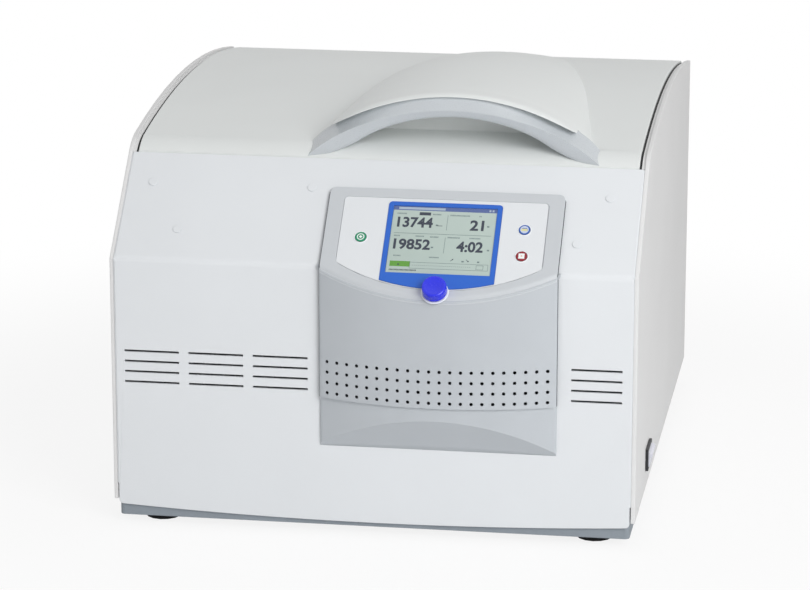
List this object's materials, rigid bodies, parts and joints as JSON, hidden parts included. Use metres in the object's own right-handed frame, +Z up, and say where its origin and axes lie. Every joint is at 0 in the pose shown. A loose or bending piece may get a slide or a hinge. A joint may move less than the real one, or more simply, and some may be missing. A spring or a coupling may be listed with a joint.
{
  "type": "benchtop centrifuge",
  "caption": "Benchtop laboratory centrifuge with a rear-hinged domed lid, a bulging front console with display, knob and keys, and a fixed-angle rotor in a steel bowl.",
  "frame": {"origin": "Middle of the whole object across and front to back, on the bench at the underside of the feet.", "axes": "+X to the right seen from the front, +Y back from the front panel towards the hinge, +Z up from the bench."},
  "size_m": [0.5574, 0.6702, 0.4534],
  "materials": {
    "housing_paint": "pale grey-white textured powder coat",
    "cover_paint": "pale grey textured powder coat",
    "lid_plastic": "pale warm grey matte moulding",
    "tray_paint": "mid blue-grey textured powder coat",
    "black_rubber": "matte black rubber",
    "frame_plastic": "light grey matte moulding",
    "console_plastic": "cool grey matte moulding",
    "grip_plastic": "satin mid grey moulding",
    "overlay_film": "off-white satin printed film",
    "bezel_film": "blue printed film",
    "display_glass": "pale green-grey liquid crystal display",
    "knob_plastic": "deep blue glossy plastic",
    "green_key": "green glossy plastic",
    "blue_key": "blue glossy plastic",
    "red_key": "dark red glossy plastic",
    "stainless_steel": "brushed stainless steel",
    "plated_steel": "dull zinc-plated steel",
    "cast_aluminium": "cast and machined aluminium",
    "rotor_aluminium": "dark anodised aluminium",
    "black_plastic": "matte black plastic",
    "circuit_board": "green circuit board laminate",
    "rocker_plastic": "light grey glossy plastic"
  },
  "bodies": {
    "housing": {"base_tray": "tray_paint", "front_panel": "housing_paint", "side_cover_left": "cover_paint", "side_cover_right": "cover_paint", "rear_panel": "cover_paint", "top_deck": "cover_paint", "chamber_bowl": "stainless_steel", "chamber_seal": "black_rubber", "armour_ring": "plated_steel", "motor_housing": "cast_aluminium", "motor_bearing_lower": "stainless_steel", "motor_bearing_upper": "stainless_steel", "console_frame": "frame_plastic", "console_cover": "console_plastic", "keypad_overlay": "overlay_film", "display_bezel": "bezel_film", "display_module": "display_glass", "control_board": "circuit_board", "encoder_body": "black_plastic", "hinge_bracket_left": "plated_steel", "hinge_bracket_right": "plated_steel", "hinge_rod": "stainless_steel", "gas_spring_bracket": "plated_steel", "lid_lock_housing": "black_plastic", "mains_switch_frame": "black_plastic", "fan_frame": "black_plastic", "power_inlet": "black_plastic", "drive_inverter": "cast_aluminium", "foot_front_left": "black_rubber", "foot_front_right": "black_rubber", "foot_rear_left": "black_rubber", "foot_rear_right": "black_rubber", "panel_plug_left_upper": "housing_paint", "panel_plug_left_lower": "housing_paint", "panel_plug_middle_upper": "housing_paint", "panel_plug_right_upper": "housing_paint", "panel_plug_right_lower": "housing_paint", "motor_mount_1": "black_rubber", "motor_mount_2": "black_rubber", "motor_mount_3": "black_rubber"},
    "lid": {"lid_hood": "lid_plastic", "lid_handle": "grip_plastic", "lid_inner_plate": "stainless_steel", "hinge_arm_left": "plated_steel", "hinge_arm_right": "plated_steel", "lid_striker": "stainless_steel"},
    "gas_spring_tube": {"gas_spring_tube": "black_plastic"},
    "gas_spring_rod": {"gas_spring_rod": "stainless_steel"},
    "lock_hook": {"lid_lock_hook": "plated_steel"},
    "drive": {"motor_shaft": "stainless_steel", "rotor": "rotor_aluminium"},
    "rotor_lid": {"rotor_lid": "rotor_aluminium"},
    "rotor_lid_knob": {"rotor_lid_knob": "black_plastic"},
    "knob_sleeve": {"encoder_disc": "stainless_steel"},
    "knob": {"control_knob": "knob_plastic"},
    "start_key": {"start_key": "green_key"},
    "lid_key": {"lid_key": "blue_key"},
    "stop_key": {"stop_key": "red_key"},
    "rocker": {"mains_rocker": "rocker_plastic"},
    "fan": {"fan_impeller": "black_plastic"}
  },
  "joints": [
    {"name": "lid_hinge", "type": "hinge", "parent": "housing", "child": "lid", "pos_m": [-0.00374, 0.32111, 0.376], "axis": [-1, 0, 0], "range_deg": [0, 70]},
    {"name": "gas_spring_pivot", "type": "hinge", "parent": "housing", "child": "gas_spring_tube", "pos_m": [-0.25374, 0.30512, 0.32], "axis": [-1, 0, 0], "range_deg": [0, 61]},
    {"name": "gas_spring_slide", "type": "slide", "parent": "gas_spring_tube", "child": "gas_spring_rod", "axis": [0, -0.9843, 0.1763], "range_m": [0, 0.0615]},
    {"name": "lock_hook_turn", "type": "hinge", "parent": "housing", "child": "lock_hook", "pos_m": [0.06596, -0.16089, 0.312], "axis": [1, 0, 0], "range_deg": [0, 30]},
    {"name": "knob_turn", "type": "hinge", "parent": "housing", "child": "knob_sleeve", "pos_m": [0.06596, -0.31559, 0.27036], "axis": [0, -0.6789, 0.7343], "continuous": true},
    {"name": "knob_press", "type": "slide", "parent": "knob_sleeve", "child": "knob", "axis": [0, 0.6789, -0.7343], "range_m": [0, 0.001], "stiffness_N_per_m": 1500, "springref_m": -0.001},
    {"name": "start_key_press", "type": "slide", "parent": "housing", "child": "start_key", "axis": [0, 0.6789, -0.7343], "range_m": [0, 0.0006], "stiffness_N_per_m": 1500, "springref_m": -0.0006},
    {"name": "lid_key_press", "type": "slide", "parent": "housing", "child": "lid_key", "axis": [0, 0.6789, -0.7343], "range_m": [0, 0.0006], "stiffness_N_per_m": 1500, "springref_m": -0.0006},
    {"name": "stop_key_press", "type": "slide", "parent": "housing", "child": "stop_key", "axis": [0, 0.6789, -0.7343], "range_m": [0, 0.0006], "stiffness_N_per_m": 1500, "springref_m": -0.0006},
    {"name": "mains_rocker_tilt", "type": "hinge", "parent": "housing", "child": "rocker", "pos_m": [0.27196, -0.15859, 0.0601], "axis": [0, -1, 0], "range_deg": [0, 24]},
    {"name": "drive_spin", "type": "hinge", "parent": "housing", "child": "drive", "pos_m": [0.06596, 0.05011, 0.2], "axis": [0, 0, 1], "continuous": true},
    {"name": "rotor_lid_lift", "type": "slide", "parent": "drive", "child": "rotor_lid", "axis": [0, 0, 1], "range_m": [0, 0.03]},
    {"name": "rotor_lid_knob_turn", "type": "hinge", "parent": "rotor_lid", "child": "rotor_lid_knob", "pos_m": [0.06596, 0.05011, 0.31], "axis": [0, 0, 1], "continuous": true},
    {"name": "fan_spin", "type": "hinge", "parent": "housing", "child": "fan", "pos_m": [-0.19374, 0.30512, 0.2], "axis": [0, 1, 0], "continuous": true}
  ],
  "couplings": [
    {"joint": "gas_spring_pivot", "follows": "lid_hinge", "ratio": 0.8641},
    {"joint": "gas_spring_slide", "follows": "lid_hinge", "m_per_rad": 0.04995}
  ]
}
